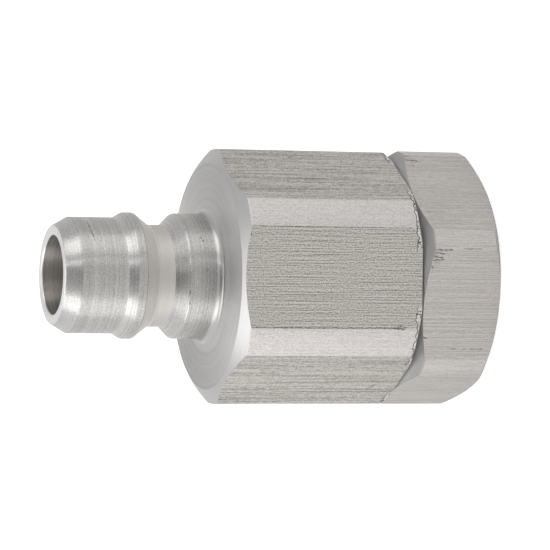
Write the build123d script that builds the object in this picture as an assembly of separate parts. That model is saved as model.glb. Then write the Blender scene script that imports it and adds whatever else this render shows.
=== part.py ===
from build123d import *
from math import cos, pi, radians, sin, tan
import os

# Plug half of a hydraulic quick coupler, valved, in stainless steel.
# It stands on its pipe port: the origin is the centre of the rear end face, and +Z runs
# along the axis to the tip of the nose. One flat of the large hexagon faces -Y.
# All sizes are in millimetres.

# Clearances
fixed_clearance = 0.02          # between pieces that are fitted and stay put
running_clearance = 0.04        # stem in its bush
closed_clearance = 0.05         # seal to its seat, measured square to the cone
thread_clearance = 0.05         # adapter's spigot in the body's threaded socket
stop_clearance = 0.05           # poppet's rear boss to the guide, at full travel

# Hexagons: two pieces of bar, their corners turned down to a cylinder
hex_across_flats = 48.0
hex_sides = 6
hex_chamfer_angle = 30.0        # from the end face
body_hex_length = 38.0
body_corner_cut = 3.3           # turned off the diameter across corners
body_front_chamfer = 3.0        # radial
body_front_face_round = 0.3
body_rear_chamfer = 1.25
adapter_hex_length = 17.3
adapter_corner_cut = 2.4
adapter_front_chamfer = 2.9
adapter_rear_chamfer = 3.1
adapter_rear_face_round = 1.5
adapter_turn = -13.0            # where its thread came tight, about the axis
corner_round = 0.4              # chamfer to turned corner

# Nose, from its tip rearwards
nose_length = 32.5
nose_dia = 23.5
nose_bore_dia = 16.0
nose_lip_round = 0.35
nose_tip_round = 0.4
nose_cone_length = 3.1
nose_cone_angle = 30.0
ramp_from_tip = 12.7
ramp_angle = 30.0
ridge_height = 1.05             # above the sealing cylinder
ridge_width = 1.75
ridge_round = 0.5
groove_depth = 2.45             # below the ridge
groove_front_angle = 37.0
groove_rear_angle = 45.0
groove_floor_width = 3.3
groove_floor_round = 1.5
rear_land_dia = 25.5
rear_land_round = 0.6
nose_root_fillet = 1.5
nose_root_ring_width = 2.75     # shallow cone around the fillet, outside the rear land
nose_root_ring_height = 0.7     # above the hexagon's front face

# Valve seat and chamber inside the body
seat_from_hex_face = 0.7        # top of the seat cone, ahead of the hexagon's front face
seat_angle = 45.0
chamber_dia = 29.0
guide_bore_dia = 32.0
guide_seat_height = 20.5        # above the joint face

# Joint between body and adapter
joint_thread_dia = 39.0
joint_thread_length = 7.2
joint_step_dia = 44.0
joint_step_height = 0.35        # leaves the dark line between the two hexagons
seal_bore_dia = 36.4
spigot_length = 13.7
spigot_end_clearance = 0.4
spigot_edge = 0.8
gland_from_thread = 1.1
gland_width = 4.3
gland_depth = 2.1
backup_ring_thickness = 1.2
o_ring_width = 2.9
o_ring_round = 0.9

# Pipe port and bore of the adapter
port_wall_dia = 24.12           # minor diameter of a G 3/4 thread
port_depth = 16.0
port_mouth_dia = 27.0
adapter_bore_dia = 21.0
adapter_bore_length = 4.0
spigot_bore_dia = 27.0

# Poppet
travel = 7.0
stem_dia = 7.0
stem_tip_recess = 5.0           # below the nose's end face
stem_tip_round = 0.8
retainer_thread_dia = 9.0
retainer_thread_length = 4.0
seal_seat_dia = 24.0            # where the seal's rear face meets the seat cone
seal_height = 2.4
poppet_boss_dia = 15.0          # inside the seal
poppet_head_height = 3.0
poppet_head_edge = 0.3
poppet_rear_boss_dia = 11.4
stem_rear_length = 8.0          # below the top of the guide's hub, valve closed
retainer_height = 2.5
retainer_lip_height = 0.2
retainer_cone_gap = 0.3

# Spring
wire_dia = 1.6
spring_mean_dia = 15.2
active_coils = 4.0
dead_coils = 1.0                # closed and ground, at each end
ground_depth = 0.4              # taken off each end by grinding

# Guide, its bush and its retaining ring
guide_rim_height = 4.0
guide_rim_inner_dia = 27.6
guide_leg_width = 4.5
guide_legs = 3
guide_leg_thickness = 3.2
guide_leg_bite = 1.0            # how far a leg runs into rim and hub
guide_hub_dia = 12.6
guide_hub_height = 7.0
guide_ledge_dia = 18.4
guide_ledge_height = 2.0
guide_ledge_from_seat = 7.3     # spring ledge below the guide's seat in the body
guide_hub_above_ledge = 2.8
bush_dia = 9.6
ring_thickness = 1.2
ring_groove_dia = 33.7
ring_inner_dia = 27.9
ring_gap_angle = 34.0
ring_lug_reach = 4.6
ring_lug_width = 4.0
ring_hole_dia = 1.6

# Worked out from the sizes above
hex_across_corners = hex_across_flats / cos(pi / hex_sides)
body_corner_dia = hex_across_corners - body_corner_cut
adapter_corner_dia = hex_across_corners - adapter_corner_cut
joint_height = adapter_hex_length
hex_face_height = joint_height + body_hex_length
tip_height = hex_face_height + nose_length
seat_top_height = hex_face_height + seat_from_hex_face
chamber_top_height = seat_top_height - (chamber_dia - nose_bore_dia) / 2 / tan(radians(seat_angle))
thread_top_height = joint_height + joint_thread_length
spigot_top_height = joint_height + spigot_length
socket_top_height = spigot_top_height + spigot_end_clearance
gland_bottom_height = thread_top_height + gland_from_thread
gland_top_height = gland_bottom_height + gland_width
guide_seat = joint_height + guide_seat_height
guide_rim_bottom = guide_seat - guide_rim_height
ring_bottom = guide_rim_bottom - ring_thickness
ledge_top = guide_seat - guide_ledge_from_seat
hub_top = ledge_top + guide_hub_above_ledge
hub_bottom = hub_top - guide_hub_height
stem_bottom = hub_top - stem_rear_length
stem_top = tip_height - stem_tip_recess
seal_bottom = seat_top_height - (seal_seat_dia - nose_bore_dia) / 2 / tan(radians(seat_angle))
seal_top = seal_bottom + seal_height
head_bottom = seal_bottom - poppet_head_height
rear_boss_bottom = hub_top + travel + stop_clearance


def chamfer_height(depth):
    """Axial length of a hexagon's end chamfer of a given radial depth."""
    return depth * tan(radians(hex_chamfer_angle))


def seat_radius(height, gap=0.0):
    """Radius of the seat cone at a height, less a gap measured square to the cone."""
    cone = nose_bore_dia / 2 + (seat_top_height - height) * tan(radians(seat_angle))
    return cone - gap / cos(radians(seat_angle))


def turned(*corners):
    """Solid turned about the axis, from (radius, height[, rounding]) corners."""
    points = [(corner[0], corner[1]) for corner in corners]
    roundings = [corner[2] if len(corner) > 2 else 0 for corner in corners]
    outline = make_face(Plane.XZ * FilletPolyline(*points, radius=roundings, close=True))
    return revolve(outline, Axis.Z)


def hexagon_bar(bottom, top, turn=0.0):
    """Plain hexagon bar, a flat facing -Y before it is turned."""
    profile = RegularPolygon(hex_across_flats / 2, hex_sides, major_radius=False)
    return Pos(0, 0, bottom) * Rot(0, 0, turn) * extrude(profile, top - bottom)


def body_outside():
    """Nose and hexagon from outside, without the bore."""
    nose = nose_dia / 2
    ridge = nose + ridge_height
    groove = ridge - groove_depth
    land = rear_land_dia / 2
    corner = body_corner_dia / 2
    cone_drop = nose_cone_length * tan(radians(nose_cone_angle))
    ramp = tip_height - ramp_from_tip
    ridge_front = ramp - (ridge - nose) / tan(radians(ramp_angle))
    ridge_rear = ridge_front - ridge_width
    floor_front = ridge_rear - (ridge - groove) / tan(radians(groove_front_angle))
    floor_rear = floor_front - groove_floor_width
    land_front = floor_rear - (land - groove) / tan(radians(groove_rear_angle))
    shape = turned(
        (0, tip_height),
        (nose - cone_drop, tip_height, nose_tip_round),
        (nose, tip_height - nose_cone_length, nose_tip_round),
        (nose, ramp),
        (ridge, ridge_front, ridge_round),
        (ridge, ridge_rear, ridge_round),
        (groove, floor_front, groove_floor_round),
        (groove, floor_rear),
        (land, land_front, rear_land_round),
        (land, hex_face_height + nose_root_ring_height, nose_root_fillet),
        (land + nose_root_ring_width, hex_face_height),
        (corner - body_front_chamfer, hex_face_height, body_front_face_round),
        (corner, hex_face_height - chamfer_height(body_front_chamfer), corner_round),
        (corner, joint_height + chamfer_height(body_rear_chamfer)),
        (corner - body_rear_chamfer, joint_height),
        (0, joint_height),
    )
    return shape & hexagon_bar(joint_height, tip_height)


def plug_body():
    """Nose, ball groove and hexagon in one piece, with valve seat, chamber and socket."""
    groove_top = guide_rim_bottom
    groove_bottom = ring_bottom - fixed_clearance
    bore = turned(
        (0, joint_height - 1),
        (joint_thread_dia / 2, joint_height - 1),
        (joint_thread_dia / 2, thread_top_height),
        (seal_bore_dia / 2, thread_top_height + (joint_thread_dia - seal_bore_dia) / 2),
        (seal_bore_dia / 2, socket_top_height),
        (guide_bore_dia / 2, socket_top_height),
        (guide_bore_dia / 2, groove_bottom),
        (ring_groove_dia / 2, groove_bottom),
        (ring_groove_dia / 2, groove_top),
        (guide_bore_dia / 2, groove_top),
        (guide_bore_dia / 2, guide_seat),
        (chamber_dia / 2, guide_seat),
        (chamber_dia / 2, chamber_top_height),
        (nose_bore_dia / 2, seat_top_height),
        (nose_bore_dia / 2, tip_height + 1),
        (0, tip_height + 1),
    )
    body = body_outside() - bore
    lip = body.edges().filter_by(GeomType.CIRCLE).group_by(Axis.Z)[-1].sort_by(SortBy.RADIUS)[0]
    return fillet(lip, nose_lip_round)


def port_adapter():
    """Rear hexagon with the pipe port, and the spigot that screws into the body."""
    corner = adapter_corner_dia / 2
    hex_top = joint_height - joint_step_height
    head = turned(
        (0, 0),
        (corner - adapter_rear_chamfer, 0, adapter_rear_face_round),
        (corner, chamfer_height(adapter_rear_chamfer), corner_round),
        (corner, hex_top - chamfer_height(adapter_front_chamfer), corner_round),
        (corner - adapter_front_chamfer, hex_top),
        (0, hex_top),
    )
    thread = joint_thread_dia / 2 - thread_clearance
    land = seal_bore_dia / 2 - fixed_clearance
    gland = seal_bore_dia / 2 - gland_depth
    spigot = turned(
        (0, hex_top - 1),
        (joint_step_dia / 2, hex_top - 1),
        (joint_step_dia / 2, joint_height),
        (thread, joint_height),
        (thread, thread_top_height - spigot_edge),
        (land, thread_top_height - spigot_edge + thread - land),
        (land, gland_bottom_height),
        (gland, gland_bottom_height),
        (gland, gland_top_height),
        (land, gland_top_height),
        (land, spigot_top_height - spigot_edge),
        (land - spigot_edge, spigot_top_height),
        (0, spigot_top_height),
    )
    mouth_depth = (port_mouth_dia - port_wall_dia) / 2
    bore_top = port_depth + adapter_bore_length
    bore = turned(
        (0, -1),
        (port_mouth_dia / 2 + 1, -1),
        (port_wall_dia / 2, mouth_depth),
        (port_wall_dia / 2, port_depth),
        (adapter_bore_dia / 2, port_depth),
        (adapter_bore_dia / 2, bore_top),
        (spigot_bore_dia / 2, bore_top + (spigot_bore_dia - adapter_bore_dia) / 2),
        (spigot_bore_dia / 2, spigot_top_height + 1),
        (0, spigot_top_height + 1),
    )
    return (head & hexagon_bar(0, hex_top, adapter_turn)) + spigot - bore


def joint_backup_ring():
    """Hard square ring on the side of the gland away from the pressure."""
    outer = seal_bore_dia / 2 - fixed_clearance
    inner = seal_bore_dia / 2 - gland_depth + fixed_clearance
    bottom = gland_bottom_height + fixed_clearance
    top = bottom + backup_ring_thickness
    return turned((inner, bottom), (outer, bottom), (outer, top), (inner, top))


def joint_o_ring():
    """Seal between spigot and body, squeezed out of round by its gland."""
    outer = seal_bore_dia / 2 - fixed_clearance
    inner = seal_bore_dia / 2 - gland_depth + fixed_clearance
    bottom = gland_bottom_height + backup_ring_thickness + 2 * fixed_clearance
    top = bottom + o_ring_width
    corners = [(inner, bottom), (outer, bottom), (outer, top), (inner, top)]
    return turned(*[(radius, height, o_ring_round) for radius, height in corners])


def valve_poppet():
    """Head, front stem that the mating valve pushes, rear stem and rear stop boss."""
    stem = stem_dia / 2
    screw = retainer_thread_dia / 2 - fixed_clearance
    boss = poppet_boss_dia / 2
    head = seat_radius(seal_bottom, retainer_cone_gap)
    rear_boss = poppet_rear_boss_dia / 2
    return turned(
        (0, stem_bottom),
        (stem, stem_bottom, stem_tip_round),
        (stem, rear_boss_bottom),
        (rear_boss, rear_boss_bottom, poppet_head_edge),
        (rear_boss, head_bottom),
        (head, head_bottom, poppet_head_edge),
        (head, seal_bottom - poppet_head_edge),
        (head - poppet_head_edge, seal_bottom),
        (boss, seal_bottom),
        (boss, seal_top),
        (screw, seal_top),
        (screw, seal_top + retainer_thread_length),
        (stem, seal_top + retainer_thread_length + screw - stem),
        (stem, stem_top, stem_tip_round),
        (0, stem_top),
    )


def poppet_seal():
    """Moulded ring on the poppet's boss, its outside parallel to the seat."""
    inner = poppet_boss_dia / 2 + fixed_clearance
    bottom = seal_bottom + fixed_clearance
    top = seal_top - fixed_clearance
    return turned(
        (inner, bottom),
        (seat_radius(bottom, closed_clearance), bottom),
        (seat_radius(top, closed_clearance), top),
        (inner, top),
    )


def seal_retainer():
    """Conical ring, screwed on the stem's root, that holds the seal down."""
    inner = retainer_thread_dia / 2
    outer = seat_radius(seal_top, retainer_cone_gap)
    lip = seal_top + retainer_lip_height
    top = seal_top + retainer_height
    slope = (retainer_height - retainer_lip_height) * tan(radians(seat_angle))
    return turned(
        (inner, seal_top),
        (outer - retainer_lip_height, seal_top),
        (outer - retainer_lip_height, lip),
        (outer - retainer_lip_height - slope, top),
        (inner, top),
    )


def coil(bottom, pitch, turns, start):
    """Wire wound about the axis from a height, starting at an angle."""
    path = Pos(0, 0, bottom) * Rot(0, 0, start) * Helix(pitch, pitch * turns, spring_mean_dia / 2)
    section = Plane(origin=path @ 0, z_dir=path % 0) * Circle(wire_dia / 2)
    return sweep(section, path, is_frenet=True)


def valve_spring():
    """Compression spring with closed and ground ends, valve closed."""
    bottom = ledge_top - ground_depth + wire_dia / 2 + fixed_clearance
    top = head_bottom + ground_depth - wire_dia / 2 - fixed_clearance
    dead_height = dead_coils * wire_dia
    active_pitch = (top - bottom - 2 * dead_height) / active_coils
    full_turn = 360
    lower = coil(bottom, wire_dia, dead_coils, 0)
    middle = coil(bottom + dead_height, active_pitch, active_coils, dead_coils * full_turn)
    upper = coil(top - dead_height, wire_dia, dead_coils, (dead_coils + active_coils) * full_turn)
    span = head_bottom - ledge_top - 2 * fixed_clearance
    outer = spring_mean_dia / 2 + wire_dia
    between_ends = Pos(0, 0, ledge_top + fixed_clearance + span / 2) * Cylinder(outer, span)
    return (lower + middle + upper) & between_ends


def valve_guide():
    """Spider: a rim in the body, three sloping legs, and a hub for bush and spring."""
    rim_outer = guide_bore_dia / 2 - fixed_clearance
    rim_inner = guide_rim_inner_dia / 2
    rim_top = guide_seat - fixed_clearance
    hub = guide_hub_dia / 2
    ledge = guide_ledge_dia / 2
    ledge_bottom = ledge_top - guide_ledge_height
    rim = turned(
        (rim_inner, guide_rim_bottom),
        (rim_outer, guide_rim_bottom),
        (rim_outer, rim_top),
        (rim_inner, rim_top),
    )
    centre = turned(
        (bush_dia / 2, hub_bottom),
        (hub, hub_bottom),
        (hub, ledge_bottom),
        (ledge, ledge_bottom),
        (ledge, ledge_top),
        (hub, ledge_top),
        (hub, hub_top),
        (bush_dia / 2, hub_top),
    )
    root = hub - guide_leg_bite
    end = rim_inner + guide_leg_bite
    section = Polyline(
        (root, ledge_bottom),
        (ledge, ledge_bottom),
        (rim_inner, guide_rim_bottom),
        (end, guide_rim_bottom),
        (end, guide_rim_bottom + guide_leg_thickness),
        (rim_inner, guide_rim_bottom + guide_leg_thickness),
        (ledge, ledge_top),
        (root, ledge_top),
        close=True,
    )
    leg = extrude(make_face(Plane.XZ * section), guide_leg_width / 2, both=True)
    return Part() + [rim, centre, *(PolarLocations(0, guide_legs) * leg)]


def guide_bush():
    """Plain bearing bush pressed into the guide's hub."""
    inner = stem_dia / 2 + running_clearance
    outer = bush_dia / 2 - fixed_clearance
    return turned((inner, hub_bottom), (outer, hub_bottom), (outer, hub_top), (inner, hub_top))


def guide_retaining_ring():
    """Internal ring with two lugs, below the guide and between two of its legs."""
    outer = ring_groove_dia / 2 - fixed_clearance
    inner = ring_inner_dia / 2
    half_gap = ring_gap_angle / 2
    ring = Circle(outer) - Circle(inner)
    reach = 2 * outer
    edge = half_gap + 180 / guide_legs
    corners = [(reach * cos(radians(angle)), reach * sin(radians(angle)))
               for angle in (180 / guide_legs - half_gap, edge)]
    ring -= make_face(Polyline((0, 0), *corners, close=True))
    for side in (-1, 1):
        turn = 180 / guide_legs + side * (half_gap + ring_lug_width)
        at = inner + (outer - inner) / 2 - ring_lug_reach / 2
        ring += Rot(0, 0, turn) * Pos(at, 0) * Rectangle(ring_lug_reach, ring_lug_width)
        hole = inner - ring_lug_reach / 2 + ring_hole_dia
        ring -= Rot(0, 0, turn) * Pos(hole, 0) * Circle(ring_hole_dia / 2)
    return Pos(0, 0, ring_bottom) * extrude(ring, ring_thickness - fixed_clearance)


pieces = {
    "plug_body": plug_body,
    "port_adapter": port_adapter,
    "joint_o_ring": joint_o_ring,
    "joint_backup_ring": joint_backup_ring,
    "valve_poppet": valve_poppet,
    "poppet_seal": poppet_seal,
    "seal_retainer": seal_retainer,
    "valve_spring": valve_spring,
    "valve_guide": valve_guide,
    "guide_bush": guide_bush,
    "guide_retaining_ring": guide_retaining_ring,
}

os.makedirs("parts", exist_ok=True)
for name, make in pieces.items():
    export_step(make(), f"parts/{name}.step")
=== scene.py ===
import math

import bmesh
import bpy
from mathutils import Matrix, Vector


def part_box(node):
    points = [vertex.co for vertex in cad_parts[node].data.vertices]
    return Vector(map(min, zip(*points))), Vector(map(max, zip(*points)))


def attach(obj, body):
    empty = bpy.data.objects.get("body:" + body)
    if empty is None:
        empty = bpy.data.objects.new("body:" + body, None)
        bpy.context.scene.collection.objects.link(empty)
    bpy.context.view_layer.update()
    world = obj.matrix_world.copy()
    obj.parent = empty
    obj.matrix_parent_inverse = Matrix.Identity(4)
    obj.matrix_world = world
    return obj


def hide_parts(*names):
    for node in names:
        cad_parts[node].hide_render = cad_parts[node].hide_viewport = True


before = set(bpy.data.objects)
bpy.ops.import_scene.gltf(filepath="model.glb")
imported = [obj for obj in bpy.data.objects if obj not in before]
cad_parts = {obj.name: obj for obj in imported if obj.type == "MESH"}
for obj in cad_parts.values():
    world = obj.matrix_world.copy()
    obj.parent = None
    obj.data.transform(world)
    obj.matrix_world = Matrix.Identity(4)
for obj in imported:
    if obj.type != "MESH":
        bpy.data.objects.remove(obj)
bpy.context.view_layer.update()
mm = 0.001

# Settings stand above the code that uses them. Their lengths are in millimetres, except the studio's.
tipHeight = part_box("plug_body")[1].z / mm
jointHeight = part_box("plug_body")[0].z / mm
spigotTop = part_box("port_adapter")[1].z / mm


def linearColour(hexCode):
    # an sRGB hex colour as the linear values that a shader takes
    channels = [int(hexCode[place:place + 2], 16) / 255 for place in (1, 3, 5)]
    linear = [c / 12.92 if c <= 0.04045 else ((c + 0.055) / 1.055) ** 2.4 for c in channels]
    return (*linear, 1.0)


def addNode(tree, kind, inputs=None, **settings):
    # one node with its settings; a socket as an input becomes a link
    node = tree.nodes.new(kind)
    for name, value in settings.items():
        setattr(node, name, value)
    for name, value in (inputs or {}).items():
        if isinstance(value, bpy.types.NodeSocket):
            tree.links.new(value, node.inputs[name])
        else:
            node.inputs[name].default_value = value
    return node


hexBar = {
    "acrossFlats": 48.0,
    "sides": 6,
    "chamferAngle": 30.0,   # degrees from the end face
    "edge": 0.10,           # the broken edge between a flat and what it meets
    "adapterTurn": -13.0,   # degrees
}


def chamferHeight(depth):
    return depth * math.tan(math.radians(hexBar["chamferAngle"]))


turning = {
    "segments": 288,
    "arcSteps": 6,
    "sharpAngle": 17.0,     # degrees, above which an edge stays sharp
    "merge": 0.001,         # points this close become one
    "millMerge": 0.002,
    "onPlane": 0.0001,      # a point this close to a cut lies on it
}


def turnedMesh(corners):
    # a closed half section from (radius, height, rounding) corners, rounded and spun about Z
    mesh = bmesh.new()
    verts = [mesh.verts.new((radius * mm, 0, height * mm)) for radius, height, _ in corners]
    for place, vert in enumerate(verts):
        mesh.edges.new((verts[place - 1], vert))
    for vert, (_, _, rounding) in zip(verts, corners):
        if rounding:
            before, after = [edge.other_vert(vert).co - vert.co for edge in vert.link_edges]
            turn = math.pi - before.angle(after)
            bmesh.ops.bevel(mesh, geom=[vert], offset=rounding * mm * math.tan(turn / 2),
                            segments=turning["arcSteps"], profile=0.5, affect="VERTICES", material=-1)
    bmesh.ops.spin(mesh, geom=mesh.verts[:] + mesh.edges[:], cent=(0, 0, 0), axis=(0, 0, 1),
                   angle=2 * math.pi, steps=turning["segments"], use_merge=True)
    bmesh.ops.remove_doubles(mesh, verts=mesh.verts[:], dist=turning["merge"] * mm)
    return mesh


def millFlats(mesh, turn):
    # six flats, each cut by a plane and closed again, and their edges broken
    flats = []
    for side in range(hexBar["sides"]):
        angle = math.radians(turn - 90 + side * 360 / hexBar["sides"])
        normal = Vector((math.cos(angle), math.sin(angle), 0))
        cut = bmesh.ops.bisect_plane(mesh, geom=mesh.verts[:] + mesh.edges[:] + mesh.faces[:],
                                     dist=turning["onPlane"] * mm, plane_no=normal, clear_outer=True,
                                     plane_co=normal * hexBar["acrossFlats"] / 2 * mm)
        edges = [piece for piece in cut["geom_cut"] if isinstance(piece, bmesh.types.BMEdge)]
        flats += bmesh.ops.contextual_create(mesh, geom=edges)["faces"]
    bmesh.ops.remove_doubles(mesh, verts=mesh.verts[:], dist=turning["millMerge"] * mm)
    bmesh.ops.recalc_face_normals(mesh, faces=mesh.faces[:])
    flats = [face for face in flats if face.is_valid]
    rims = {edge for face in flats for edge in face.edges}
    bmesh.ops.bevel(mesh, geom=list(rims), offset=hexBar["edge"] * mm, segments=2, profile=0.5,
                    affect="EDGES", material=-1, clamp_overlap=True)
    bmesh.ops.recalc_face_normals(mesh, faces=mesh.faces[:])


def finished(mesh, name, body, materials, chooser):
    # a bmesh made an object, each face given the material that chooser names
    data = bpy.data.meshes.new(name)
    names = list(materials)
    for face in mesh.faces:
        face.smooth = True
        face.material_index = names.index(chooser(face.calc_center_median() / mm, face.normal))
    mesh.to_mesh(data)
    mesh.free()
    for key in names:
        data.materials.append(materials[key])
    data.set_sharp_from_angle(angle=math.radians(turning["sharpAngle"]))
    piece = bpy.data.objects.new(name, data)
    bpy.context.scene.collection.objects.link(piece)
    weighted = piece.modifiers.new("weighted normals", "WEIGHTED_NORMAL")
    weighted.keep_sharp = True
    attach(piece, body)
    return piece


plug = {
    "hexTop": 55.3,
    "cornerRadius": 26.06,
    "frontChamfer": 3.0,
    "rearChamfer": 1.25,
    "frontRound": 0.3,
    "cornerRound": 0.2,
    "noseRadius": 11.75,
    "noseCone": 3.1,
    "noseConeAngle": 30.0,
    "tipRound": 0.4,
    "lipRound": 0.35,
    "boreRadius": 8.0,
    "rampFromTip": 12.7,
    "rampAngle": 30.0,
    "ridgeRadius": 12.8,
    "ridgeWidth": 1.75,
    "ridgeRound": 0.5,
    "grooveRadius": 10.35,
    "grooveFrontAngle": 37.0,
    "grooveRearAngle": 45.0,
    "grooveFloor": 3.3,
    "grooveRound": 1.5,
    "grooveBottom": 62.6,   # where the groove's own finish, painted lighter, begins and ends
    "grooveTop": 71.4,
    "landRadius": 12.75,
    "landRound": 0.6,
    "rootFillet": 1.5,
    "rootRingWidth": 2.75,
    "rootRingHeight": 0.7,
    "seatTop": 56.0,
    "seatAngle": 45.0,
    "chamberRadius": 14.5,
    "guideRadius": 16.0,
    "guideSeat": 37.8,
    "ringGrooveRadius": 16.85,
    "ringGrooveBottom": 32.58,
    "ringGrooveTop": 33.8,
    "socketTop": 31.4,
    "sealRadius": 18.2,
    "threadRadius": 19.5,
    "threadTop": 24.5,
}


def plugOutline():
    size = plug
    cone = size["noseCone"] * math.tan(math.radians(size["noseConeAngle"]))
    ramp = tipHeight - size["rampFromTip"]
    ridgeFront = ramp - (size["ridgeRadius"] - size["noseRadius"]) / math.tan(math.radians(size["rampAngle"]))
    ridgeRear = ridgeFront - size["ridgeWidth"]
    frontDepth = size["ridgeRadius"] - size["grooveRadius"]
    rearDepth = size["landRadius"] - size["grooveRadius"]
    wallFront = frontDepth / math.tan(math.radians(size["grooveFrontAngle"]))
    wallRear = rearDepth / math.tan(math.radians(size["grooveRearAngle"]))
    floorFront = ridgeRear - wallFront
    floorRear = floorFront - size["grooveFloor"]
    corner = size["cornerRadius"]
    seat = (size["chamberRadius"] - size["boreRadius"]) / math.tan(math.radians(size["seatAngle"]))
    chamberTop = size["seatTop"] - seat
    return [
        (size["noseRadius"] - cone, tipHeight, size["tipRound"]),
        (size["noseRadius"], tipHeight - size["noseCone"], size["tipRound"]),
        (size["noseRadius"], ramp, 0),
        (size["ridgeRadius"], ridgeFront, size["ridgeRound"]),
        (size["ridgeRadius"], ridgeRear, size["ridgeRound"]),
        (size["grooveRadius"], floorFront, size["grooveRound"]),
        (size["grooveRadius"], floorRear, 0),
        (size["landRadius"], floorRear - wallRear, size["landRound"]),
        (size["landRadius"], size["hexTop"] + size["rootRingHeight"], size["rootFillet"]),
        (size["landRadius"] + size["rootRingWidth"], size["hexTop"], 0),
        (corner - size["frontChamfer"], size["hexTop"], size["frontRound"]),
        (corner, size["hexTop"] - chamferHeight(size["frontChamfer"]), size["cornerRound"]),
        (corner, jointHeight + chamferHeight(size["rearChamfer"]), 0),
        (corner - size["rearChamfer"], jointHeight, 0),
        (size["threadRadius"], jointHeight, 0),
        (size["threadRadius"], size["threadTop"], 0),
        (size["sealRadius"], size["threadTop"] + size["threadRadius"] - size["sealRadius"], 0),
        (size["sealRadius"], size["socketTop"], 0),
        (size["guideRadius"], size["socketTop"], 0),
        (size["guideRadius"], size["ringGrooveBottom"], 0),
        (size["ringGrooveRadius"], size["ringGrooveBottom"], 0),
        (size["ringGrooveRadius"], size["ringGrooveTop"], 0),
        (size["guideRadius"], size["ringGrooveTop"], 0),
        (size["guideRadius"], size["guideSeat"], 0),
        (size["chamberRadius"], size["guideSeat"], 0),
        (size["chamberRadius"], chamberTop, 0),
        (size["boreRadius"], size["seatTop"], 0),
        (size["boreRadius"], tipHeight, size["lipRound"]),
    ]


# where one finish ends and the next begins
zones = {
    "slack": 0.01,
    "shoulderSlack": 0.05,
    "rootReach": 2.0,       # how far above the shoulder the fillet's finish reaches
    "landSlack": 0.02,
    "ridgeSlack": 0.1,
    "cornerDepth": 0.3,     # the corners' finish begins this far inside their circle
    "inward": 0.1,          # the least part of a face's normal towards the axis
    "flat": 0.96,           # parts of the normal along the axis
    "steep": 0.9,
    "sloped": 0.3,
    "grooveWall": 0.25,
    "conical": 0.2,
    "slight": 0.1,
}


def plugFace(centre, normal):
    # which finish a face of the plug body has, from where it lies
    radius = centre.xy.length
    above = centre.z - plug["hexTop"]
    inward = centre.x * normal.x + centre.y * normal.y < -zones["inward"] * radius
    lip = tipHeight - plug["lipRound"] - zones["slack"]
    # the mouth's lip takes the finish with a painted highlight
    if radius < plug["noseRadius"] and centre.z > lip and normal.z > zones["slight"]:
        return "tip" if normal.z > zones["steep"] or inward else "turned"
    if inward or radius < plug["boreRadius"] + zones["slack"]:
        return "bored"
    if above < -zones["shoulderSlack"] and normal.z > zones["sloped"]:
        return "chamfer"
    if radius > plug["landRadius"] + zones["landSlack"] and zones["slack"] < above < zones["rootReach"]:
        return "ring" if normal.z > zones["flat"] else "root"
    if above > plug["rootRingHeight"]:
        inGroove = radius < plug["ridgeRadius"] - zones["ridgeSlack"]
        # the groove's floor and wall take finishes with painted light
        if inGroove and plug["grooveBottom"] < centre.z < plug["grooveTop"] and normal.z < zones["sloped"]:
            return "wall" if normal.z < -zones["grooveWall"] else "groove"
        return "turned"
    if above > -zones["shoulderSlack"]:
        return "faced"
    if abs(normal.z) > zones["conical"]:
        return "turned"
    return "corner" if radius > plug["cornerRadius"] - zones["cornerDepth"] else "drawn"


adapter = {
    "cornerRadius": 26.51,
    "frontChamfer": 2.9,
    "rearChamfer": 3.1,
    "rearRound": 1.5,
    "cornerRound": 0.4,
    "stepRadius": 22.0,
    "stepHeight": 0.35,
    "mouthRadius": 13.9,
    "boreRadius": 10.5,
    "portDepth": 16.0,
    "boreTop": 20.0,
    "spigotBore": 13.5,
    "spigotEdge": 0.8,
    "spigotClearance": 0.02,
    "glandBottom": 25.6,
    "glandTop": 29.9,
    "glandDepth": 2.1,
}


def adapterOutline():
    size = adapter
    corner = size["cornerRadius"]
    hexTop = jointHeight - size["stepHeight"]
    land = plug["sealRadius"] - size["spigotClearance"]
    screw = plug["threadRadius"] - size["spigotClearance"]
    gland = plug["sealRadius"] - size["glandDepth"]
    edge = size["spigotEdge"]
    threadTop = plug["threadTop"] - edge
    return [
        (corner - size["frontChamfer"], hexTop, 0),
        (corner, hexTop - chamferHeight(size["frontChamfer"]), size["cornerRound"]),
        (corner, chamferHeight(size["rearChamfer"]), size["cornerRound"]),
        (corner - size["rearChamfer"], 0, size["rearRound"]),
        (size["mouthRadius"], 0, 0),
        (thread["rootRadius"], size["mouthRadius"] - thread["rootRadius"], 0),
        (thread["rootRadius"], size["portDepth"], 0),
        (size["boreRadius"], size["portDepth"], 0),
        (size["boreRadius"], size["boreTop"], 0),
        (size["spigotBore"], size["boreTop"] + size["spigotBore"] - size["boreRadius"], 0),
        (size["spigotBore"], spigotTop, 0),
        (land - edge, spigotTop, 0),
        (land, spigotTop - edge, 0),
        (land, size["glandTop"], 0),
        (gland, size["glandTop"], 0),
        (gland, size["glandBottom"], 0),
        (land, size["glandBottom"], 0),
        (land, threadTop + screw - land, 0),
        (screw, threadTop, 0),
        (screw, jointHeight, 0),
        (size["stepRadius"], jointHeight, 0),
        (size["stepRadius"], hexTop, 0),
    ]


def adapterFace(centre, normal):
    # the same for the adapter
    radius = centre.xy.length
    if centre.x * normal.x + centre.y * normal.y < -zones["inward"] * radius:
        return "bored"
    if normal.z > zones["conical"]:
        return "matt"
    if centre.z > jointHeight - adapter["stepHeight"] - zones["slack"] or normal.z < -zones["conical"]:
        return "turned"
    return "drawnCorner" if radius > adapter["cornerRadius"] - zones["cornerDepth"] else "drawnFine"


thread = {
    "pitch": 1.814,         # 14 threads to the inch, as on a G 3/4 port
    "crestRadius": 12.06,
    "rootRadius": 13.22,
    "shellRadius": 13.6,    # buried in the adapter's wall
    "steps": 96,
}


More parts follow.
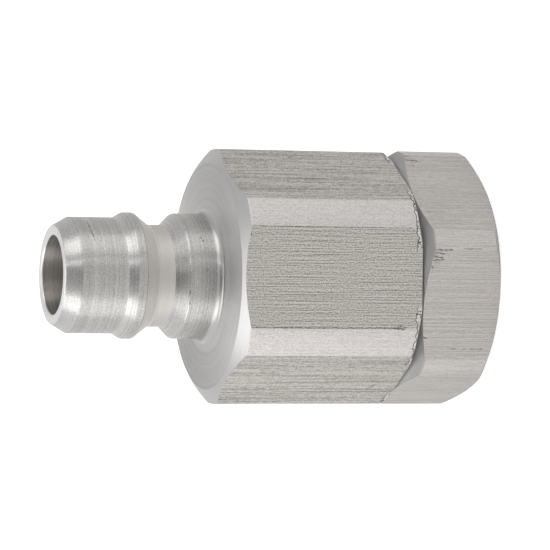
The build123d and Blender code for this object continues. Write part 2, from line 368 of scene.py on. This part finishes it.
def threadMesh():
    # one thread form carried round the axis, trimmed to the port, and closed behind
    mesh = bmesh.new()
    pitch = thread["pitch"]
    crest = thread["crestRadius"]
    root = thread["rootRadius"]
    form = [(crest, 0), (crest, pitch / 6), (root, pitch / 2), (root, pitch * 2 / 3), (crest, pitch)]
    start = -2 * pitch
    verts = [mesh.verts.new((radius * mm, 0, (start + height) * mm)) for radius, height in form]
    edges = [mesh.edges.new(pair) for pair in zip(verts, verts[1:])]
    turns = math.ceil(adapter["portDepth"] / pitch) + 3
    steps = turns * thread["steps"]
    bmesh.ops.spin(mesh, geom=verts + edges, cent=(0, 0, 0), axis=(0, 0, 1),
                   dvec=(0, 0, turns * pitch * mm / steps), angle=2 * math.pi * turns, steps=steps)
    bmesh.ops.remove_doubles(mesh, verts=mesh.verts[:], dist=turning["merge"] * mm)
    loops = []
    for height, direction in ((adapter["mouthRadius"] - crest, -1), (adapter["portDepth"], 1)):
        cut = bmesh.ops.bisect_plane(mesh, geom=mesh.verts[:] + mesh.edges[:] + mesh.faces[:],
                                     dist=turning["onPlane"] * mm, plane_co=(0, 0, height * mm),
                                     plane_no=(0, 0, direction), clear_outer=True)
        rim = [piece for piece in cut["geom_cut"] if isinstance(piece, bmesh.types.BMEdge)]
        loops.append(rim)
    shells = []
    for rim in loops:
        grown = bmesh.ops.extrude_edge_only(mesh, edges=rim)["geom"]
        for vert in [piece for piece in grown if isinstance(piece, bmesh.types.BMVert)]:
            scale = thread["shellRadius"] * mm / vert.co.xy.length
            vert.co.x *= scale
            vert.co.y *= scale
        shells += [piece for piece in grown if isinstance(piece, bmesh.types.BMEdge) and piece.is_boundary]
    bmesh.ops.bridge_loops(mesh, edges=shells)
    bmesh.ops.recalc_face_normals(mesh, faces=mesh.faces[:])
    return mesh


def newMaterial(name):
    material = bpy.data.materials.new(name)
    material.use_nodes = True
    material.node_tree.nodes.clear()
    return material, material.node_tree


def finishMaterial(tree, shader):
    addNode(tree, "ShaderNodeOutputMaterial", {"Surface": shader.outputs[0]})


def aroundAxis(tree, place):
    # the point's distance from the axis, and its height
    split = addNode(tree, "ShaderNodeSeparateXYZ", {"Vector": place.outputs["Object"]})
    across = addNode(tree, "ShaderNodeCombineXYZ", {"X": split.outputs["X"], "Y": split.outputs["Y"]})
    radius = addNode(tree, "ShaderNodeVectorMath", {0: across.outputs[0]}, operation="LENGTH")
    return radius.outputs["Value"], split.outputs["Z"]


def turnedCoordinates(tree, place, ringsPerMm):
    # a pattern on distance and height makes rings on every turned face
    radius, height = aroundAxis(tree, place)
    rings = addNode(tree, "ShaderNodeCombineXYZ", {"X": radius, "Z": height})
    scale = ringsPerMm / mm
    return addNode(tree, "ShaderNodeMapping", {"Vector": rings.outputs[0], "Scale": (scale, scale, scale)})


def metalShader(tree, colour, roughness, normal, anisotropy=0.0):
    # bare metal; anisotropy draws its highlights out across the tool marks
    settings = {"Base Color": colour, "Metallic": 1.0, "Roughness": roughness, "Normal": normal,
                "Anisotropic": anisotropy}
    if anisotropy:
        tangent = addNode(tree, "ShaderNodeTangent", direction_type="RADIAL", axis="Z")
        settings["Tangent"] = tangent.outputs[0]
        settings["Anisotropic Rotation"] = 0.25     # a quarter turn, because the marks run round the axis
    return addNode(tree, "ShaderNodeBsdfPrincipled", settings)


# real feed marks are finer than a pixel, so these are drawn as coarse as they need to be to show
turnedSkin = {
    "ringsPerMm": 3.2,
    "relief": 0.5,          # strength of the rings in the surface
    "bandsPerMm": 0.45,     # broader bands, glossier and duller by turns
    "specksPerMm": 5.4,
    "speckShare": 0.55,
    "darkAt": 0.32,         # the noise at which the metal is fully dark, and fully light
    "lightAt": 0.68,
    "glossier": 0.05,
    "duller": 0.07,
}


def turnedMetal(name, dark, light, roughness, ringDepth, anisotropy=0.6, scars=()):
    # metal turned on a lathe: fine rings, and highlights drawn out along the axis
    material, tree = newMaterial(name)
    skin = turnedSkin
    place = addNode(tree, "ShaderNodeTexCoord")
    fine = turnedCoordinates(tree, place, skin["ringsPerMm"])
    rings = addNode(tree, "ShaderNodeTexNoise", {"Vector": fine.outputs[0], "Scale": 1.0, "Detail": 3.0,
                                                 "Roughness": 0.6})
    broad = turnedCoordinates(tree, place, skin["bandsPerMm"])
    bands = addNode(tree, "ShaderNodeTexNoise", {"Vector": broad.outputs[0], "Scale": 1.0, "Detail": 2.0})
    grain = stretchedNoise(tree, place, skin["specksPerMm"], skin["specksPerMm"], 1.0)
    uneven = addNode(tree, "ShaderNodeMix", {0: skin["speckShare"], 2: rings.outputs["Fac"], 3: grain})
    tone = addNode(tree, "ShaderNodeValToRGB", {"Fac": uneven.outputs[0]})
    for element, position, colour in zip(tone.color_ramp.elements, (skin["darkAt"], skin["lightAt"]),
                                         (dark, light)):
        element.position = position
        element.color = linearColour(colour)
    gloss = spreadNoise(tree, bands.outputs["Fac"], roughness - skin["glossier"], roughness + skin["duller"])
    bump = addNode(tree, "ShaderNodeBump", {"Height": rings.outputs["Fac"], "Strength": skin["relief"],
                                            "Distance": ringDepth * mm})
    colour = tone.outputs[0]
    if scars:
        colour = scarred(tree, colour, strokes(tree, place, scars))
    shader = metalShader(tree, colour, gloss, bump.outputs[0], anisotropy)
    finishMaterial(tree, shader)
    return material


def stretchedNoise(tree, place, across, along, detail, shift=0.0):
    # noise drawn out along the axis, in features per millimetre, and shifted across by some features
    size = addNode(tree, "ShaderNodeMapping", {"Vector": place.outputs["Object"], "Location": (shift, 0, 0),
                                               "Scale": (across / mm, across / mm, along / mm)})
    noise = addNode(tree, "ShaderNodeTexNoise", {"Vector": size.outputs[0], "Scale": 1.0, "Detail": detail})
    return noise.outputs["Fac"]


def lowTail(tree, value, clear, full):
    # 1 where the value is under full, falling to 0 at clear
    part = addNode(tree, "ShaderNodeMapRange", {"Value": value, "From Min": clear, "From Max": full,
                                                "To Min": 0.0, "To Max": 1.0})
    return part.outputs[0]


def spreadNoise(tree, noise, low, high):
    # most of a noise lies between 0.3 and 0.7, which become low and high
    part = addNode(tree, "ShaderNodeMapRange", {"Value": noise, "From Min": 0.3, "From Max": 0.7,
                                                "To Min": low, "To Max": high})
    return part.outputs[0]


scarColour = "#4A4642"
# strokes from one point to another, each with its half width and strength
marks = {
    "body": [
        ((-10.05, -24, 53.2), (-10.02, -24, 22.0), 0.16, 1.0),       # dark line on a flat's lower edge
        ((-10.0, -24, 24.0), (-10.25, -23.9, 21.2), 0.26, 1.0),
        ((-9.6, -24, 22.4), (-9.9, -24, 20.9), 0.16, 1.0),
        ((10.08, -24, 53.2), (10.08, -24, 19.6), 0.10, 1.0),         # and a finer one on its upper edge
        ((-22.72, -8.66, 23.3), (-22.2, -9.5, 22.4), 0.22, 1.0),
        ((-22.2, -9.6, 23.2), (-21.85, -10.16, 22.1), 0.18, 1.0),
        ((-22.4, -9.3, 23.0), (-22.1, -9.9, 22.4), 0.80, 0.3),
        ((8.5, -24, 54.3), (8.3, -24, 53.7), 0.22, 1.0),
    ],
    "adapter": [
        ((5.75, -25.85, 15.3), (5.8, -25.86, 11.6), 0.20, 1.0),      # dark dashes behind the chamfer's corner
        ((5.2, -25.8, 15.2), (5.0, -25.8, 13.2), 0.16, 1.0),
        ((4.5, -25.7, 15.6), (4.2, -25.6, 13.6), 0.22, 1.0),
        ((3.7, -25.5, 15.8), (3.8, -25.5, 13.4), 0.16, 1.0),
        ((2.6, -25.3, 16.0), (2.2, -25.2, 15.6), 0.26, 1.0),
        ((4.9, -25.8, 15.4), (3.4, -25.5, 14.8), 1.10, 0.30),
        ((5.7, -25.86, 15.0), (5.7, -25.86, 11.5), 0.40, 0.25),
        ((6.05, -25.81, 9.0), (6.08, -25.8, 5.4), 0.12, 1.0),
        ((24.3, -9.1, 15.4), (24.1, -9.35, 13.0), 0.20, 1.0),        # streaks by the upper corner
        ((25.1, -8.3, 15.6), (25.15, -8.2, 13.9), 0.16, 1.0),
        ((23.0, -10.4, 15.6), (23.02, -10.5, 14.0), 0.14, 1.0),
        ((24.3, -9.1, 15.2), (24.2, -9.2, 13.4), 0.70, 0.25),
        ((13.5, -20.7, 15.2), (13.5, -20.7, 11.2), 0.09, 1.0),
        ((-14.2, -21.35, 10.6), (-14.2, -21.35, 8.8), 0.12, 1.0),    # a faint broken line
        ((-14.2, -21.35, 7.4), (-14.2, -21.35, 6.6), 0.12, 1.0),
        ((-14.2, -21.35, 5.8), (-14.2, -21.35, 3.2), 0.14, 1.0),
        ((-11.8, -21.9, 16.2), (-12.0, -21.85, 15.5), 0.18, 1.0),
    ],
    "nose": [
        ((10.64, -4.98, 82.04), (9.83, -6.43, 82.03), 0.17, 1.0),    # one scratch across the front
        ((9.83, -6.43, 82.03), (8.81, -7.77, 82.01), 0.20, 1.0),
        ((8.81, -7.77, 82.01), (7.95, -8.65, 81.83), 0.20, 1.0),
        ((7.95, -8.65, 81.83), (7.01, -9.43, 81.64), 0.17, 1.0),
        ((7.9, -10.0, 59.8), (7.0, -10.65, 59.4), 0.13, 1.0),
        ((-2.8, -12.4, 62.62), (-5.6, -11.45, 62.35), 0.14, 1.0),
        ((-12.64, -1.7, 60.7), (-12.46, -2.7, 60.35), 0.24, 1.0),    # a small burr at the land's lower edge
        ((-12.52, -2.4, 59.9), (-12.4, -2.95, 59.75), 0.18, 1.0),
        ((-12.5, -2.5, 59.35), (-12.3, -3.35, 59.45), 0.20, 1.0),
    ],
}
strokeEdge = {
    "across": 4.2,          # its waves by the millimetre
    "along": 2.2,
    "least": 0.5,           # the distance from a stroke's line is taken this many times
    "most": 2.2,
}


def strokes(tree, place, lines):
    # 1 on the marks, with ragged edges
    waves = stretchedNoise(tree, place, strokeEdge["across"], strokeEdge["along"], 0.0)
    ragged = spreadNoise(tree, waves, strokeEdge["least"], strokeEdge["most"])
    covered = 0.0
    for start, end, width, strength in lines:
        away = (Vector(end) - Vector(start)) * mm
        offset = addNode(tree, "ShaderNodeVectorMath", {0: place.outputs["Object"], 1: Vector(start) * mm},
                         operation="SUBTRACT")
        along = addNode(tree, "ShaderNodeVectorMath", {0: offset.outputs[0], 1: away / away.length_squared},
                        operation="DOT_PRODUCT")
        part = addNode(tree, "ShaderNodeClamp", {"Value": along.outputs["Value"]})
        nearest = addNode(tree, "ShaderNodeVectorMath", {0: away, "Scale": part.outputs[0]},
                          operation="SCALE")
        gap = addNode(tree, "ShaderNodeVectorMath", {0: offset.outputs[0], 1: nearest.outputs[0]},
                      operation="DISTANCE")
        loose = addNode(tree, "ShaderNodeMath", {0: gap.outputs["Value"], 1: ragged}, operation="MULTIPLY")
        mark = addNode(tree, "ShaderNodeMapRange", {"Value": loose.outputs[0], "From Min": width * mm,
                                                    "From Max": 0.0, "To Max": strength}).outputs[0]
        covered = addNode(tree, "ShaderNodeMath", {0: covered, 1: mark}, operation="MAXIMUM").outputs[0]
    return covered


def mixedColour(tree, share, base, over):
    mix = addNode(tree, "ShaderNodeMix", {0: share, 6: base, 7: over}, data_type="RGBA")
    return mix.outputs[2]


def scarred(tree, colour, covered):
    return mixedColour(tree, covered, colour, linearColour(scarColour))


burr = {
    "fadesFrom": 24.5,      # radii between which it begins
    "fadesTo": 25.0,
    "lowest": 0.6,          # its crest over the joint
    "highest": 1.4,
    "wavesAround": 0.8,     # by the millimetre
    "wavesAlong": 0.2,
    "outline": 0.18,        # half width of its dark rim, and of the rim's core
    "outlineCore": 0.02,
    "flecksPerMm": 2.6,
    "flecksBelow": 0.42,    # the noise under which a fleck begins, and is full
    "flecksFull": 0.36,
    "edge": 0.1,            # how softly its inside begins
    # painted highlight: how far the burr's inside is painted towards the near-white colour below
    "shine": 0.45,
    "colour": "#F0EEEC",
}


def rearBurrAndPaintedHighlight(tree, place):
    # the ragged burr along the body's rear edge by its corners: its dark outline, and its inside, where a
    # highlight is painted
    radius, height = aroundAxis(tree, place)
    outer = addNode(tree, "ShaderNodeMapRange", {"Value": radius, "From Min": burr["fadesFrom"] * mm,
                                                 "From Max": burr["fadesTo"] * mm})
    waves = stretchedNoise(tree, place, burr["wavesAround"], burr["wavesAlong"], 2.0)
    crest = spreadNoise(tree, waves, (jointHeight + burr["lowest"]) * mm,
                        (jointHeight + burr["highest"]) * mm)
    above = addNode(tree, "ShaderNodeMath", {0: height, 1: crest}, operation="SUBTRACT")
    gap = addNode(tree, "ShaderNodeMath", {0: above.outputs[0]}, operation="ABSOLUTE")
    rim = lowTail(tree, gap.outputs[0], burr["outline"] * mm, burr["outlineCore"] * mm)
    flecks = lowTail(tree, stretchedNoise(tree, place, burr["flecksPerMm"], burr["flecksPerMm"], 0.0),
                     burr["flecksBelow"], burr["flecksFull"])
    inside = lowTail(tree, above.outputs[0], 0.0, -burr["edge"] * mm)
    spots = addNode(tree, "ShaderNodeMath", {0: flecks, 1: inside}, operation="MULTIPLY")
    dark = addNode(tree, "ShaderNodeMath", {0: rim, 1: spots.outputs[0]}, operation="MAXIMUM")
    return [addNode(tree, "ShaderNodeMath", {0: mask, 1: outer.outputs[0]}, operation="MULTIPLY").outputs[0]
            for mask in (dark.outputs[0], inside)]


# the bar's drawing lines are finer than a pixel too, and drawn as coarse as they need to be to show
drawnSkin = {
    "linesPerMm": 4.5,
    # features to the millimetre along the bar, and how many lines away the subtracted noise lies
    "hairlines": (0.06, 0.9),
    "dashes": (0.8, 0.9),
    "grain": (3.0, 50.0),
    "contrast": 0.75,
    "clearAt": 0.60,        # where the skin is clear, and where it is fully worn
    "wornAt": 0.34,
    "longAcross": 3.0,      # few long dark lines, by the millimetre
    "longAlong": 0.04,
    "longBelow": 0.32,
    "longFull": 0.24,
    "duller": 0.12,
    "depth": 0.01,
    "relief": 0.3,
}


def drawnSteel(name, dark, light, roughness, wear, shares, lines, scars, anisotropy=0.0, burrAndPaintedHighlight=False):
    # the drawn skin of the hexagon bar: hairlines, short dashes and grain along its length
    material, tree = newMaterial(name)
    place = addNode(tree, "ShaderNodeTexCoord")
    skin = drawnSkin
    across = skin["linesPerMm"]
    worn = 0.5
    for share, (along, neighbour) in zip(shares, (skin["hairlines"], skin["dashes"], skin["grain"])):
        # the difference of two noises keeps the lines fine, without clouds
        near = stretchedNoise(tree, place, across, along, 0.0)
        beside = stretchedNoise(tree, place, across, along, 0.0, neighbour)
        lined = addNode(tree, "ShaderNodeMath", {0: near, 1: beside}, operation="SUBTRACT")
        worn = addNode(tree, "ShaderNodeMath", {0: lined.outputs[0], 1: share * skin["contrast"], 2: worn},
                       operation="MULTIPLY_ADD").outputs[0]
    worn = lowTail(tree, worn, skin["clearAt"], skin["wornAt"])
    longLines = lowTail(tree, stretchedNoise(tree, place, skin["longAcross"], skin["longAlong"], 0.0),
                        skin["longBelow"], skin["longFull"])
    marked = addNode(tree, "ShaderNodeMath", {0: longLines, 1: lines}, operation="MULTIPLY")
    fade = addNode(tree, "ShaderNodeMath", {0: worn, 1: wear, 2: marked.outputs[0]},
                   operation="MULTIPLY_ADD", use_clamp=True)
    grey = mixedColour(tree, fade.outputs[0], linearColour(light), linearColour(dark))
    covered = strokes(tree, place, scars)
    if burrAndPaintedHighlight:
        outline, inside = rearBurrAndPaintedHighlight(tree, place)
        covered = addNode(tree, "ShaderNodeMath", {0: covered, 1: outline}, operation="MAXIMUM").outputs[0]
        # painted highlight: the burr's inside is painted near-white
        bright = addNode(tree, "ShaderNodeMath", {0: inside, 1: burr["shine"]}, operation="MULTIPLY")
        grey = mixedColour(tree, bright.outputs[0], grey, linearColour(burr["colour"]))
    gloss = addNode(tree, "ShaderNodeMapRange", {"Value": fade.outputs[0], "To Min": roughness,
                                                 "To Max": roughness + skin["duller"]})
    bump = addNode(tree, "ShaderNodeBump", {"Height": fade.outputs[0], "Strength": skin["relief"],
                                            "Distance": -skin["depth"] * mm})
    shader = metalShader(tree, scarred(tree, grey, covered), gloss.outputs[0], bump.outputs[0], anisotropy)
    finishMaterial(tree, shader)
    return material


softSkin = {
    "relief": 0.3,
    "depth": 0.02,
    "uneven": 0.08,         # roughness more and less
}


def softMaterial(name, colour, roughness, grain):
    # rubber or plastic: one colour, a little grain in the surface, its size in millimetres
    material, tree = newMaterial(name)
    place = addNode(tree, "ShaderNodeTexCoord")
    scaled = addNode(tree, "ShaderNodeMapping", {"Vector": place.outputs["Object"],
                                                 "Scale": (1 / grain / mm,) * 3})
    speckle = addNode(tree, "ShaderNodeTexNoise", {"Vector": scaled.outputs[0], "Scale": 1.0, "Detail": 3.0})
    bump = addNode(tree, "ShaderNodeBump", {"Height": speckle.outputs["Fac"],
                                            "Strength": softSkin["relief"],
                                            "Distance": softSkin["depth"] * mm})
    gloss = addNode(tree, "ShaderNodeMapRange", {"Value": speckle.outputs["Fac"],
                                                 "To Min": roughness - softSkin["uneven"],
                                                 "To Max": roughness + softSkin["uneven"]})
    shader = addNode(tree, "ShaderNodeBsdfPrincipled",
                     {"Base Color": linearColour(colour), "Roughness": gloss.outputs[0],
                      "Normal": bump.outputs[0]})
    finishMaterial(tree, shader)
    return material


studio = {
    "floorSize": 6.0,       # metres, like all lengths of the studio
    "floorColour": "#EDECEA",
    "floorGlow": 0.70,      # keeps the background white to the camera
    "floorShine": 0.26,     # the same in reflections
    "floorSlope": 0.40,     # the table's left shines more by this part, its right less
    "slopeReach": 0.12,     # from the middle to where it is full
    "ambient": 0.60,        # the room as rough surfaces are lit by it
    "backdrop": 1.0,        # the room as metal shows it, behind the object
    "roomFront": 0.85,      # and behind the camera
    "frontEnds": -0.8,      # between these directions, as -1 to 1 from front to back, it goes over
    "backBegins": 0.2,
    "darkTowards": (0, -0.56, 0.83),        # the dark part of the room, above the camera
    "darkLevel": 0.38,
    "darkEdge": 0.80,       # cosines of the angles at which a patch begins, and is full
    "brightTowards": (-0.16, 0.22, 0.96),   # a soft light overhead
    "brightLevel": 2.7,
    "brightEdge": 0.88,
    "patchCore": 0.97,
    "sideways": 0.24,       # the room's left is brighter by this part, its right darker
    "lampAcross": 0.60,
    "lampForward": 0.27,
    "lampWidth": 0.46,
    "lampHeight": 0.72,
    "lampGap": 0.01,        # between a lamp and the table
    "lampPower": {-1: 1.76, 1: 1.64},
    "stripTurn": 29.0,      # degrees from the camera to a narrow upright light on the right
    "stripWidth": 3.0,
    "stripLevel": 5.0,
}


def backgroundRays(tree):
    # 1 for a ray that comes from the camera, a mirror-like surface or through glass
    path = addNode(tree, "ShaderNodeLightPath")
    seen = addNode(tree, "ShaderNodeMath", {0: path.outputs["Is Glossy Ray"],
                                            1: path.outputs["Is Transmission Ray"]}, operation="MAXIMUM")
    return path.outputs["Is Camera Ray"], seen.outputs[0]


def sideways(tree, across, reach, level, slope):
    # level, more by the part slope at the left and less by it at the right
    ramp = addNode(tree, "ShaderNodeMapRange", {"Value": across, "From Min": -reach, "From Max": reach,
                                                "To Min": level * (1 + slope), "To Max": level * (1 - slope)})
    return ramp.outputs[0]


def floorMaterial():
    # pale table: white to the camera and in reflections, with the object's shadow kept
    material, tree = newMaterial("pale table")
    camera, mirrored = backgroundRays(tree)
    direct = addNode(tree, "ShaderNodeMath", {0: camera, 1: studio["floorGlow"]}, operation="MULTIPLY")
    place = addNode(tree, "ShaderNodeTexCoord")
    split = addNode(tree, "ShaderNodeSeparateXYZ", {"Vector": place.outputs["Object"]})
    shine = sideways(tree, split.outputs["X"], studio["slopeReach"], studio["floorShine"],
                     studio["floorSlope"])
    glow = addNode(tree, "ShaderNodeMath", {0: mirrored, 1: shine, 2: direct.outputs[0]},
                   operation="MULTIPLY_ADD")
    light = addNode(tree, "ShaderNodeEmission", {"Color": (1, 1, 1, 1), "Strength": glow.outputs[0]})
    paint = addNode(tree, "ShaderNodeBsdfDiffuse", {"Color": linearColour(studio["floorColour"])})
    both = addNode(tree, "ShaderNodeAddShader", {0: light.outputs[0], 1: paint.outputs[0]})
    finishMaterial(tree, both)
    return material


def worldMaterial():
    # white backdrop; the room behind the camera is a little darker where metal mirrors it
    world = bpy.data.worlds.new("studio")
    bpy.context.scene.world = world
    world.use_nodes = True
    tree = world.node_tree
    tree.nodes.clear()
    camera, mirrored = backgroundRays(tree)
    place = addNode(tree, "ShaderNodeTexCoord")
    split = addNode(tree, "ShaderNodeSeparateXYZ", {"Vector": place.outputs["Generated"]})
    room = addNode(tree, "ShaderNodeMapRange", {"Value": split.outputs["Y"], "From Min": studio["frontEnds"],
                                                "From Max": studio["backBegins"],
                                                "To Min": studio["roomFront"], "To Max": studio["backdrop"]},
                   interpolation_type="SMOOTHSTEP")
    side = sideways(tree, split.outputs["X"], 1.0, 1.0, studio["sideways"])
    strength = addNode(tree, "ShaderNodeMath", {0: room.outputs[0], 1: side}, operation="MULTIPLY").outputs[0]
    for patch in ("dark", "bright"):
        near = addNode(tree, "ShaderNodeVectorMath", {0: place.outputs["Generated"],
                                                      1: studio[patch + "Towards"]}, operation="DOT_PRODUCT")
        part = addNode(tree, "ShaderNodeMapRange", {"Value": near.outputs["Value"],
                                                    "From Min": studio[patch + "Edge"],
                                                    "From Max": studio["patchCore"], "To Min": 1.0,
                                                    "To Max": studio[patch + "Level"]},
                       interpolation_type="SMOOTHSTEP")
        strength = addNode(tree, "ShaderNodeMath", {0: strength, 1: part.outputs[0]},
                           operation="MULTIPLY").outputs[0]
    front = addNode(tree, "ShaderNodeMath", {0: split.outputs["Y"], 1: -1.0}, operation="MULTIPLY")
    azimuth = addNode(tree, "ShaderNodeMath", {0: split.outputs["X"], 1: front.outputs[0]},
                      operation="ARCTAN2")
    aside = addNode(tree, "ShaderNodeMath", {0: azimuth.outputs[0], 1: math.radians(studio["stripTurn"]),
                                             2: math.radians(studio["stripWidth"] / 2)}, operation="COMPARE")
    strip = addNode(tree, "ShaderNodeMath", {0: aside.outputs[0], 1: studio["stripLevel"], 2: strength},
                    operation="MULTIPLY_ADD")
    shone = addNode(tree, "ShaderNodeMix", {0: mirrored, 2: studio["ambient"], 3: strip.outputs[0]})
    seen = addNode(tree, "ShaderNodeMix", {0: camera, 2: shone.outputs[0], 3: 1.0})
    sky = addNode(tree, "ShaderNodeBackground", {"Color": (1, 1, 1, 1), "Strength": seen.outputs[0]})
    addNode(tree, "ShaderNodeOutputWorld", {"Surface": sky.outputs[0]})


def setStudio():
    # a table, the room and two upright softboxes, each beside and a little in front of the object
    floor = bmesh.new()
    bmesh.ops.create_grid(floor, x_segments=1, y_segments=1, size=studio["floorSize"] / 2)
    data = bpy.data.meshes.new("table")
    floor.to_mesh(data)
    floor.free()
    data.materials.append(floorMaterial())
    table = bpy.data.objects.new("table", data)
    bpy.context.scene.collection.objects.link(table)
    worldMaterial()
    for side in (-1, 1):
        lamp = bpy.data.lights.new("softbox", "AREA")
        lamp.shape = "RECTANGLE"
        lamp.size = studio["lampWidth"]
        lamp.size_y = studio["lampHeight"]
        lamp.energy = studio["lampPower"][side]
        holder = bpy.data.objects.new("softbox", lamp)
        bpy.context.scene.collection.objects.link(holder)
        toLamp = Vector((side * studio["lampAcross"], -studio["lampForward"], 0))
        holder.location = toLamp + Vector((0, 0, studio["lampHeight"] / 2 + studio["lampGap"]))
        holder.rotation_euler = toLamp.to_track_quat("Z", "Y").to_euler()


view = {
    "elevation": 19.3,      # degrees above the table, so the nose tips towards the camera
    "roll": -89.43,         # degrees; the photograph lies on its side
    "distance": 729.5,
    "farthest": 20000.0,
    "lens": 232.6,
    "sensor": 36.0,
    "aim": (0.41, 0.24, 40.26),
}


def setCamera():
    lens = bpy.data.cameras.new("camera")
    lens.lens = view["lens"]
    lens.sensor_width = view["sensor"]
    lens.clip_end = view["farthest"] * mm
    holder = bpy.data.objects.new("camera", lens)
    bpy.context.scene.collection.objects.link(holder)
    tilt = math.radians(view["elevation"])
    back = Vector((0, -math.cos(tilt), math.sin(tilt)))
    turn = Matrix.Rotation(math.pi / 2 - tilt, 4, "X") @ Matrix.Rotation(math.radians(view["roll"]), 4, "Z")
    aim = Vector(view["aim"]) * mm
    holder.matrix_world = Matrix.Translation(aim + back * view["distance"] * mm) @ turn
    bpy.context.scene.camera = holder


setStudio()
setCamera()
print("studio and camera set")

# The shades are matched to the photograph zone by zone, so they hold some of its light too.
# wear: how dark the drawn skin's pattern gets; lines: the same for its few long lines
# shares: how much of the hairlines, the dashes and the grain shows
steel = {
    # fine turned: silvery, with fine rings and long soft highlights
    "turned": turnedMetal("turned stainless steel", dark="#8D8B89", light="#D0CFCD", roughness=0.36,
                          ringDepth=0.03, anisotropy=0.8, scars=marks["nose"]),
    # skimmed on the lathe over the bar's corners: paler and quieter than the flats
    "corner": drawnSteel("skimmed stainless corners", dark="#4A4642", light="#CBC7C5", roughness=0.36,
                         wear=0.30, shares=(0.20, 0.30, 0.50), lines=0.0, scars=marks["body"],
                         anisotropy=0.7, burrAndPaintedHighlight=True),
    "drawnCorner": drawnSteel("skimmed adapter corners", dark="#4A4642", light="#C9C5C3", roughness=0.36,
                              wear=0.28, shares=(0.38, 0.36, 0.30), lines=0.0, scars=marks["adapter"],
                              anisotropy=0.5),
    # turned by a sharp tool: smooth and bright
    "chamfer": turnedMetal("bright turned chamfer", dark="#A6A5A4", light="#B4B3B2", roughness=0.34,
                           ringDepth=0.01, anisotropy=0.3),
    # as drawn: dull warm grey, full of dark lines
    "drawn": drawnSteel("drawn stainless hexagon bar", dark="#4A4642", light="#CBC8C3", roughness=0.36,
                        wear=0.63, shares=(0.46, 0.28, 0.48), lines=0.25, scars=marks["body"], burrAndPaintedHighlight=True),
    # the same, but from a smoother bar
    "drawnFine": drawnSteel("finer drawn stainless bar", dark="#5E5A57", light="#C6C2BF", roughness=0.36,
                            wear=0.34, shares=(0.46, 0.32, 0.28), lines=0.08, scars=marks["adapter"]),
    # the fillet: glossy, with a small sharp highlight
    "root": turnedMetal("bright turned root", dark="#A19F9D", light="#B7B6B4", roughness=0.31,
                        ringDepth=0.01, anisotropy=0.2),
    # faced across the end: even and satin, with a faint sweep round the axis
    # painted light: the ring is the face's steel painted a shade lighter, standing in for the light band on
    # it
    "ring": turnedMetal("faced ring painted lighter", dark="#ABAAA9", light="#C1C0BF", roughness=0.58,
                        ringDepth=0.01, anisotropy=0.5),
    "faced": turnedMetal("faced stainless steel", dark="#A2A1A0", light="#BBBAB9", roughness=0.54,
                         ringDepth=0.02, anisotropy=0.7),
    # turned too, but matt, without a highlight
    "matt": turnedMetal("matt turned chamfer", dark="#A6A5A4", light="#B6B5B4", roughness=0.70,
                        ringDepth=0.02, anisotropy=0.0),
    # plunged with a form tool: satin, with little gloss. Painted light: the floor and the wall towards the
    # ridge are painted paler than this steel, standing in for light in the groove; the wall is the same
    # steel, painted a shade lighter still
    "wall": turnedMetal("groove wall painted lighter", dark="#D1CECB", light="#DDDAD7", roughness=0.58,
                        ringDepth=0.02, anisotropy=0.4),
    "groove": turnedMetal("form-turned groove painted lighter", dark="#BFBCB9", light="#CCC9C6", roughness=0.58,
                          ringDepth=0.02, anisotropy=0.4),
    # the rounded mouth: a painted highlight, the palest colour of all, standing in for the light on the
    # rounded lip
    "tip": turnedMetal("turned lip with painted highlight", dark="#CBCAC8", light="#D6D5D4", roughness=0.36,
                       ringDepth=0.01, anisotropy=0.6),
    # bored: like the turned skin, warmer, and darker in its own shade, against which its colour is painted
    # lighter, standing in for light inside the bore
    "bored": turnedMetal("bored steel painted lighter", dark="#A19C97", light="#CAC4BE", roughness=0.38,
                         ringDepth=0.03, anisotropy=0.8),
}
print("steels mixed")

body = turnedMesh(plugOutline())
millFlats(body, 0)
plugPiece = finished(body, "plugBody", "coupler", steel, plugFace)
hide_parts("plug_body")
print("plug body turned and milled", len(plugPiece.data.polygons))

rear = turnedMesh(adapterOutline())
millFlats(rear, hexBar["adapterTurn"])
adapterPiece = finished(rear, "portAdapter", "coupler", steel, adapterFace)
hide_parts("port_adapter")
print("port adapter turned and milled", len(adapterPiece.data.polygons))

portThread = finished(threadMesh(), "portThread", "coupler",
                      {"turned": steel["turned"]}, lambda centre, normal: "turned")
print("port thread cut", len(portThread.data.polygons))

inside = {
    # smooth ground and turned steels: grey, with a clear highlight
    "valve_poppet": turnedMetal("turned poppet", dark="#8F8D8A", light="#A6A4A1", roughness=0.28,
                                ringDepth=0.02),
    "seal_retainer": steel["turned"],
    "valve_guide": steel["turned"],
    # drawn wire: darker and smooth
    "valve_spring": turnedMetal("drawn spring wire", dark="#7C7B7A", light="#98979A", roughness=0.25,
                                ringDepth=0.0),
    # phosphated: dark grey and dull
    "guide_retaining_ring": turnedMetal("phosphated spring steel", dark="#4A4846", light="#5C5A57",
                                        roughness=0.45, ringDepth=0.01),
    # moulded rubber: black and satin
    "joint_o_ring": softMaterial("nitrile rubber", colour="#1B1B1C", roughness=0.5, grain=0.15),
    "poppet_seal": softMaterial("moulded nitrile", colour="#1F1F20", roughness=0.45, grain=0.15),
    # PTFE: waxy and white
    "joint_backup_ring": softMaterial("white PTFE", colour="#DAD9D2", roughness=0.45, grain=0.3),
    # bearing bronze: brown, with fine rings
    "guide_bush": turnedMetal("turned bearing bronze", dark="#8A6A3A", light="#A5824C", roughness=0.35,
                              ringDepth=0.02),
}
for name, material in inside.items():
    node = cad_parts[name]
    node.data.materials.clear()
    node.data.materials.append(material)
print("inner pieces finished")

bpy.context.scene.view_settings.view_transform = "Standard"
